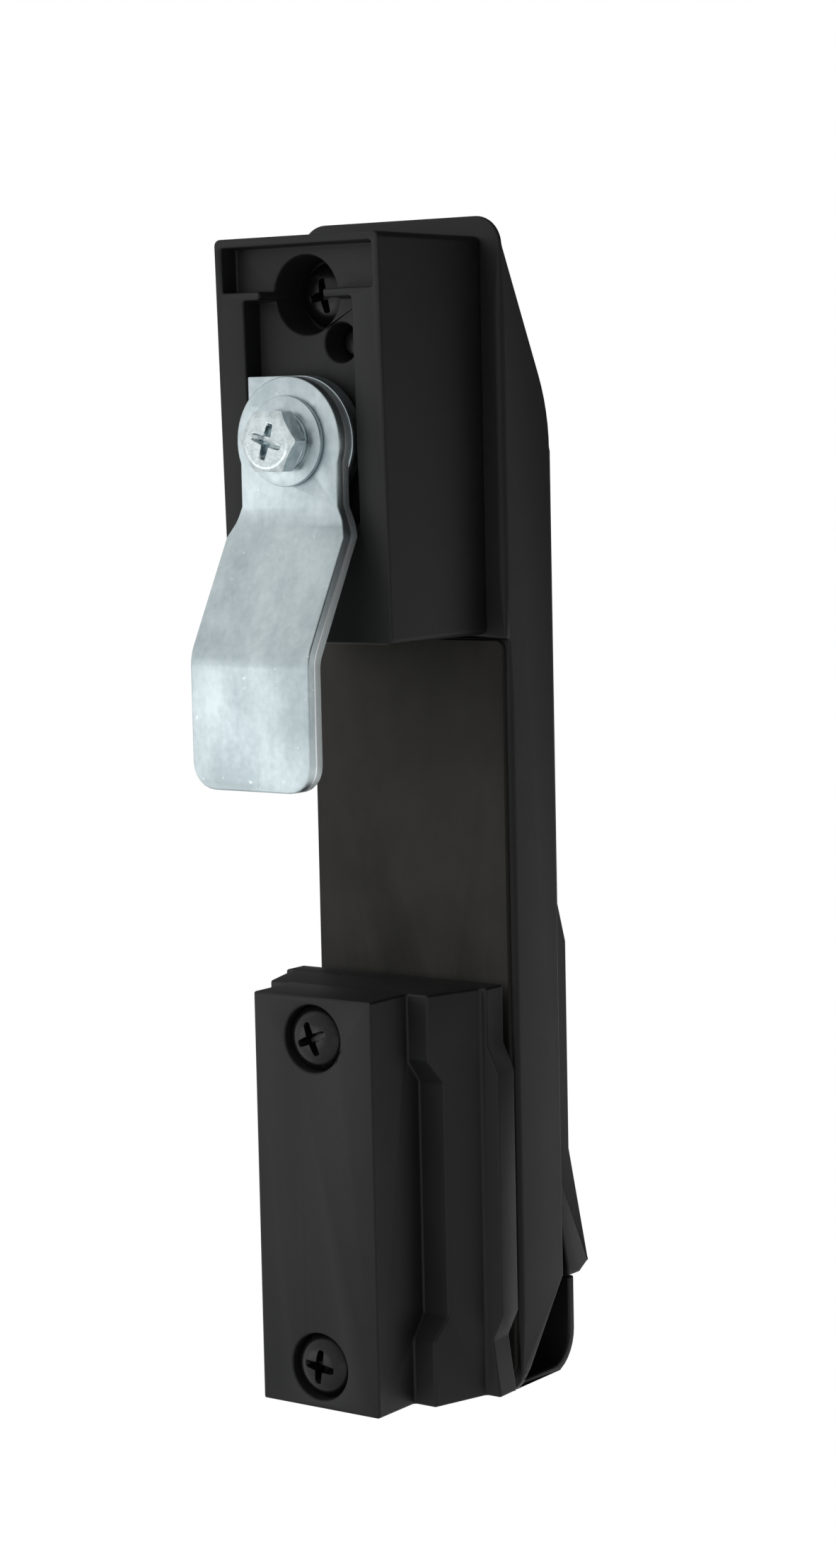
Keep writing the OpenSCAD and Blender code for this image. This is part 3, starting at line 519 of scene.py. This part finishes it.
def screw_mesh(name, rim, top, cross, seat, tip, shank, turn, settings):
    """A screw along +Y about its own axis: rim(angle) is the head's outline, top(r) its height over the seat."""
    sectors = settings.sectors
    rings = 52
    spots, faces = [], []

    def ring(points):
        spots.extend(points)
        return len(spots) - len(points)

    def band(a, b, count=sectors):
        faces.extend((a + i, a + (i + 1) % count, b + (i + 1) % count, b + i) for i in range(count))

    angles = [2 * math.pi * i / sectors for i in range(sectors)]
    arm, half, deep = cross
    spots.append((0, seat + top(0) - deep, 0))
    before = None
    for k in range(1, rings + 1):
        share = (k / rings) ** 0.85
        points = []
        for a in angles:
            r = share * rim(a)
            x, z = r * math.cos(a), r * math.sin(a)
            u = x * math.cos(turn) + z * math.sin(turn)
            v = z * math.cos(turn) - x * math.sin(turn)
            points.append((x, seat + top(r) - cross_depth(u, v, arm, half, deep), z))
        start = ring(points)
        if before is None:
            faces.extend((0, start + i, start + (i + 1) % sectors) for i in range(sectors))
        else:
            band(before, start)
        before = start
    inset = 0.12
    for height, grow in ((0.25, 0.0), (0.08, 0.0), (0.0, -inset)):
        points = []
        for a in angles:
            r = rim(a) + grow
            points.append((r * math.cos(a), seat + height, r * math.sin(a)))
        start = ring(points)
        band(before, start)
        before = start
    turns = max(2, int((seat - tip) / settings.thread_pitch * 2) - 1)
    for k in range(turns + 1):
        y = seat - (seat - tip) * k / turns
        r = shank * (1.0 if k % 2 == 0 else 0.9) * (0.82 if k == turns else 1.0)
        start = ring([(r * math.cos(a), y, r * math.sin(a)) for a in angles])
        band(before, start)
        before = start
    end = len(spots)
    spots.append((0, tip, 0))
    faces.extend((end, before + (i + 1) % sectors, before + i) for i in range(sectors))
    mesh = bpy.data.meshes.new(name)
    mesh.from_pydata([Vector(p) * MM for p in spots], [], faces)
    work = bmesh.new()
    work.from_mesh(mesh)
    bmesh.ops.recalc_face_normals(work, faces=work.faces)
    work.to_mesh(mesh)
    work.free()
    return mesh


def along_y(node):
    """Centre x and z, and lowest and highest y of a CAD node, in millimetres."""
    low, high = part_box(node)
    middle = (low + high) / 2 / MM
    return middle.x, middle.z, low.y / MM, high.y / MM


class LOCK_OT_stage(bpy.types.Operator):
    """Make the camera, the pale floor and the soft lamps"""

    bl_idname = "lock.stage"
    bl_label = "Studio"

    def execute(self, context):
        studio = context.scene.lock_studio
        a, e, roll = (math.radians(v) for v in (studio.azimuth, studio.elevation, studio.roll))
        away = Vector((math.sin(a) * math.cos(e), -math.cos(a) * math.cos(e), math.sin(e)))
        look = -away
        right = look.cross(Vector((0, 0, 1))).normalized()
        up = right.cross(look)
        side = math.cos(roll) * right + math.sin(roll) * up
        top = -math.sin(roll) * right + math.cos(roll) * up
        target = Vector(studio.target) * MM
        lens = bpy.data.cameras.new("camera")
        lens.sensor_fit = "VERTICAL"
        lens.sensor_height = 36.0
        lens.lens = studio.focal * lens.sensor_height / PHOTO_HEIGHT
        lens.clip_start = 0.01
        camera = bpy.data.objects.new("camera", lens)
        turn = Matrix((side, top, away)).transposed().to_4x4()
        camera.matrix_world = Matrix.Translation(target + away * studio.distance * MM) @ turn
        context.scene.collection.objects.link(camera)
        context.scene.camera = camera

        self.floor(context, studio)
        self.world(context)
        for name, power, size, place in (
            ("key", studio.key, 0.6, (0.45, 0.64, -0.34)),
            ("fill", studio.fill, 0.6, (-0.55, 0.6, -0.35)),
            ("rim", studio.rim, 0.4, (-0.42, -0.52, -0.42)),
        ):
            lamp = bpy.data.lights.new(name, "AREA")
            lamp.energy = power
            lamp.size = size
            light = bpy.data.objects.new(name, lamp)
            light.location = place
            light.rotation_euler = (target - Vector(place)).to_track_quat("-Z", "Y").to_euler()
            context.scene.collection.objects.link(light)
        context.scene.view_settings.view_transform = "Standard"
        return {"FINISHED"}

    def floor(self, context, studio):
        """A pale floor that shows white and keeps a soft shadow."""
        drop = CAD_BOX[0][2] - studio.floor_drop * MM
        half = 6.0
        mesh = bpy.data.meshes.new("floor")
        mesh.from_pydata([(-half, -half, drop), (half, -half, drop), (half, half, drop), (-half, half, drop)], [], [(0, 1, 2, 3)])
        floor = bpy.data.objects.new("floor", mesh)
        context.scene.collection.objects.link(floor)
        board = Board("pale_floor")
        matt = board.node("ShaderNodeBsdfDiffuse", {}, {"Color": (0.8, 0.8, 0.8, 1)})
        white = board.node("ShaderNodeEmission", {}, {"Color": (1, 1, 1, 1), "Strength": 1.0})
        away = board.node("ShaderNodeVectorMath", {"operation": "LENGTH"}, {0: board.place()}, out="Value")
        open_floor = board.node("ShaderNodeMapRange", {"interpolation_type": "SMOOTHSTEP"}, {"Value": away, 1: 0.3, 2: 0.42, 3: 0.6, 4: 1.0})
        mixed = board.node("ShaderNodeMixShader", {}, {0: board.in_view() * open_floor, 1: matt, 2: white})
        board.tree.links.new(mixed.socket, board.output.inputs["Surface"])
        mesh.materials.append(board.material)

    def world(self, context):
        """White behind the object, and a soft studio for the light on it."""
        world = bpy.data.worlds.new("studio")
        context.scene.world = world
        world.use_nodes = True
        board = Board.__new__(Board)
        board.tree = world.node_tree
        board.tree.nodes.clear()
        output = board.tree.nodes.new("ShaderNodeOutputWorld")
        in_view = board.in_view()
        split = board.node("ShaderNodeSeparateXYZ", {}, {0: board.node("ShaderNodeTexCoord", out="Generated")})
        x = split
        y = Wire(board, split.socket.node.outputs[1])
        z = Wire(board, split.socket.node.outputs[2])
        ray = board.node("ShaderNodeLightPath", out="Is Camera Ray")
        facing = x * 0.6 + y * 0.75 - z * 0.3
        soft = board.node("ShaderNodeMapRange", {"interpolation_type": "SMOOTHSTEP"}, {"Value": facing, 1: -0.05, 2: 0.9, 3: 0.02, 4: 2.3})
        gleam = board.node("ShaderNodeMapRange", {"interpolation_type": "SMOOTHSTEP"}, {"Value": facing, 1: -0.55, 2: 0.6, 3: 0.05, 4: 1.0})
        mirrored = (1 - ray) * in_view
        strength = ray + mirrored * gleam + (1 - in_view) * soft
        sky = board.node("ShaderNodeBackground", {}, {"Color": (1, 1, 1, 1), "Strength": strength})
        board.tree.links.new(sky.socket, output.inputs["Surface"])


class LOCK_OT_castings(bpy.types.Operator):
    """Round the corners of the base, the rear housing, the handle and the clamp bracket"""

    bl_idname = "lock.castings"
    bl_label = "Castings"

    def execute(self, context):
        edges = context.scene.lock_edges
        for node in COATED:
            settle(softened(node, edges.casting, edges.steps), node)
        low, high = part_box("base")
        share = edges.casting / edges.base_rear

        def rear_side(corner):
            ends = [end.co for end in corner.verts]
            side = all(min(spot.x - low.x, high.x - spot.x) < 0.1 * MM for spot in ends)
            behind = all(-1.0 * MM < spot.y < 0.1 * MM for spot in ends)
            return side and behind and corner.calc_length() > 20 * MM

        def bow(work):
            swept_bow(work, low.y + BOW_WALL * MM)

        settle(softened("base", edges.base_rear, edges.steps, 28, rear_side, share, bow), "base")
        return {"FINISHED"}


class LOCK_OT_seals(bpy.types.Operator):
    """Finish the gasket, the ring and the rest pads"""

    bl_idname = "lock.seals"
    bl_label = "Gasket, ring and pads"

    def execute(self, context):
        edges = context.scene.lock_edges
        for node in ("gasket", "rest_pad_left", "rest_pad_right"):
            settle(softened(node, edges.small, 2), node)
        dress("shaft_ring")
        return {"FINISHED"}


def dress(*nodes):
    """Give CAD nodes that stay as they are the finish of their slot."""
    for node in nodes:
        mesh = NODES[node].data
        mesh.materials.clear()
        mesh.materials.append(finish_for(SLOT_OF[node]))


class LOCK_OT_cam(bpy.types.Operator):
    """Make the cranked cam with its rolled corner and sheared rim, the rim with a painted highlight line and a torn
    part lightened partly by painted light
    """

    bl_idname = "lock.cam"
    bl_label = "Cam"

    bend: FloatProperty(name="Bend radius", description="Inner radius of the bends, in millimetres", default=3.0)
    sheet: FloatProperty(name="Sheet", description="Thickness of the cam, in millimetres", default=2.5)
    set_back: FloatProperty(name="Set", description="How far the blade is set back, in millimetres", default=8.4)
    start: FloatProperty(name="Start", description="Height of the first bend, in millimetres", default=-8.5)
    drop: FloatProperty(name="Drop", description="Height from the first bend to the second, in millimetres", default=17.5)

    def rear_line(self, rear):
        """Points of the cam's rear surface as y and z, in millimetres."""
        r, outer = self.bend, self.bend + self.sheet
        total = r + outer
        angle = math.asin(total / math.hypot(self.drop, self.set_back - total))
        angle += math.atan2(self.set_back - total, self.drop)
        line = [(rear, 40.0)]
        for i in range(7):
            a = math.pi + angle * i / 6
            line.append((rear + r + r * math.cos(a), self.start + r * math.sin(a)))
        for i in range(7):
            a = angle * (1 - i / 6)
            line.append((rear + self.set_back - outer + outer * math.cos(a), self.start - self.drop + outer * math.sin(a)))
        line.append((rear + self.set_back, -90.0))
        return line

    def execute(self, context):
        edges = context.scene.lock_edges
        piece = softened("cam", edges.sheet, edges.steps, 60)
        line = self.rear_line(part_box("cam")[1].y / MM - self.set_back)
        through = piece.data.attributes.new("through", "FLOAT", "POINT")
        for vertex, entry in zip(piece.data.vertices, through.data):
            spot = Vector((vertex.co.y, vertex.co.z)) / MM
            nearest = 99.0
            for a, b in zip(line, line[1:]):
                a, b = Vector(a), Vector(b)
                share = min(1.0, max(0.0, (spot - a).dot(b - a) / (b - a).length_squared))
                nearest = min(nearest, (spot - a - share * (b - a)).length)
            entry.value = nearest / self.sheet
        settle(piece, "cam", zinc_plate(context.scene.lock_finish, "zinc_plate_cut", True))
        return {"FINISHED"}


class LOCK_OT_small_steel(bpy.types.Operator):
    """Round the stop plate, the washers and the locating pin, and finish the shaft, its clip, its bush and the lift pin
    """

    bl_idname = "lock.small_steel"
    bl_label = "Washers, shaft and pins"

    def execute(self, context):
        edges = context.scene.lock_edges
        for node in ("stop_plate", "flat_washer", "locating_pin"):
            settle(softened(node, edges.small, 2), node)
        settle(softened("spring_washer", edges.small, 2), "spring_washer", polished_finish(context))
        dress("shaft", "shaft_clip", "shaft_bush", "lift_pin")
        return {"FINISHED"}


class LOCK_OT_cam_bolt(bpy.types.Operator):
    """Make the hexagon bolt with a cross recess"""

    bl_idname = "lock.cam_bolt"
    bl_label = "Cam bolt"

    head: FloatProperty(name="Head", description="Height of the head, in millimetres", default=2.5)
    flats: FloatProperty(name="Flats", description="Size across the flats, in millimetres", default=7.0)
    shank: FloatProperty(name="Shank", description="Radius of the shank, in millimetres", default=2.0)
    turn: FloatProperty(name="Turn", description="Turn of the cross, in degrees", default=18.0)

    def execute(self, context):
        x, z, tip, rear = along_y("cam_bolt")
        half = self.flats / 2
        chamfer = half * 0.93

        def rim(angle):
            within = (angle + math.pi / 6 + math.pi / 6) % (math.pi / 3) - math.pi / 6
            return min(half / math.cos(within), half * 1.137)

        def top(r):
            return self.head - max(0.0, r - chamfer) * 0.62 - 0.05 * max(0.0, 1 - abs(r - chamfer) / 0.25)

        cross = (self.flats * 0.31, 0.56, self.head * 0.55)
        mesh = screw_mesh(
            "cam_bolt_look", rim, top, cross, rear - self.head, tip, self.shank, math.radians(self.turn), context.scene.lock_screws
        )
        mesh.transform(Matrix.Translation((x * MM, 0, z * MM)))
        settle(shown("cam_bolt_look", mesh, 26), "cam_bolt", polished_finish(context))
        return {"FINISHED"}


class LOCK_OT_pan_screws(bpy.types.Operator):
    """Make the pan-head screws of the housing and the clamp"""

    bl_idname = "lock.pan_screws"
    bl_label = "Pan-head screws"

    head: FloatProperty(name="Head", description="Height of the head, in millimetres", default=2.5)
    shank: FloatProperty(name="Shank", description="Radius of the shank, in millimetres", default=2.0)

    def execute(self, context):
        screws = context.scene.lock_screws
        for node, turn in (("housing_screw", -12), ("clamp_screw_upper", -22), ("clamp_screw_lower", 8), ("front_screw", 30)):
            x, z, low, high = along_y(node)
            radius = (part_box(node)[1].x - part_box(node)[0].x) / MM / 2

            def top(r):
                return self.head - self.head * 0.5 * (r / radius) ** 3.6

            cross = (radius * screws.cross_span, radius * 0.145, self.head * screws.cross_depth)
            front = node == "front_screw"
            if front:
                low, high = -high, -low
            mesh = screw_mesh(
                node + "_look", lambda a: radius, top, cross, high - self.head, low, self.shank, math.radians(turn), screws
            )
            if front:
                mesh.transform(Matrix.Rotation(math.pi, 4, "Z"))
                x = -x
            mesh.transform(Matrix.Translation((x * MM, 0, z * MM)))
            settle(shown(node + "_look", mesh, 26), node)
        return {"FINISHED"}


class LOCK_OT_key_lock(bpy.types.Operator):
    """Finish the lock cylinder, its plug, nut, driver, pin and spring"""

    bl_idname = "lock.key_lock"
    bl_label = "Key lock"

    def execute(self, context):
        edges = context.scene.lock_edges
        for node in ("lock_cylinder", "lock_plug", "cylinder_nut", "plug_driver", "driver_screw", "locking_pin"):
            settle(softened(node, edges.small, 2), node)
        spring = settle(shown("lock_spring_look", NODES["lock_spring"].data.copy()), "lock_spring")
        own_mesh(spring)
        return {"FINISHED"}


class LOCK_PT_panel(bpy.types.Panel):
    """Steps of the lock handle in the sidebar"""

    bl_idname = "LOCK_PT_panel"
    bl_label = "Lock Handle"
    bl_space_type = "VIEW_3D"
    bl_region_type = "UI"
    bl_category = "Lock Handle"

    def draw(self, context):
        for step in STEPS:
            self.layout.operator(step.bl_idname)
        for group in GROUPS:
            holder = getattr(context.scene, group)
            box = self.layout.box()
            for key in holder.__annotations__:
                box.prop(holder, key)


GROUPS = {
    "lock_finish": FinishSettings,
    "lock_edges": EdgeSettings,
    "lock_screws": ScrewSettings,
    "lock_studio": StudioSettings,
}
STEPS = (
    LOCK_OT_stage,
    LOCK_OT_castings,
    LOCK_OT_seals,
    LOCK_OT_cam,
    LOCK_OT_small_steel,
    LOCK_OT_cam_bolt,
    LOCK_OT_pan_screws,
    LOCK_OT_key_lock,
)
CLASSES = (*GROUPS.values(), *STEPS, LOCK_PT_panel)


def register():
    """Register the classes and hang the settings on the scene."""
    for each in CLASSES:
        bpy.utils.register_class(each)
    for name, group in GROUPS.items():
        setattr(bpy.types.Scene, name, PointerProperty(type=group))


def unregister():
    """Take the settings and the classes away again."""
    for name in GROUPS:
        delattr(bpy.types.Scene, name)
    for each in reversed(CLASSES):
        bpy.utils.unregister_class(each)


def main():
    """Build every piece."""
    register()
    for step in STEPS:
        group, name = step.bl_idname.split(".")
        getattr(getattr(bpy.ops, group), name)()


if __name__ == "__main__":
    main()
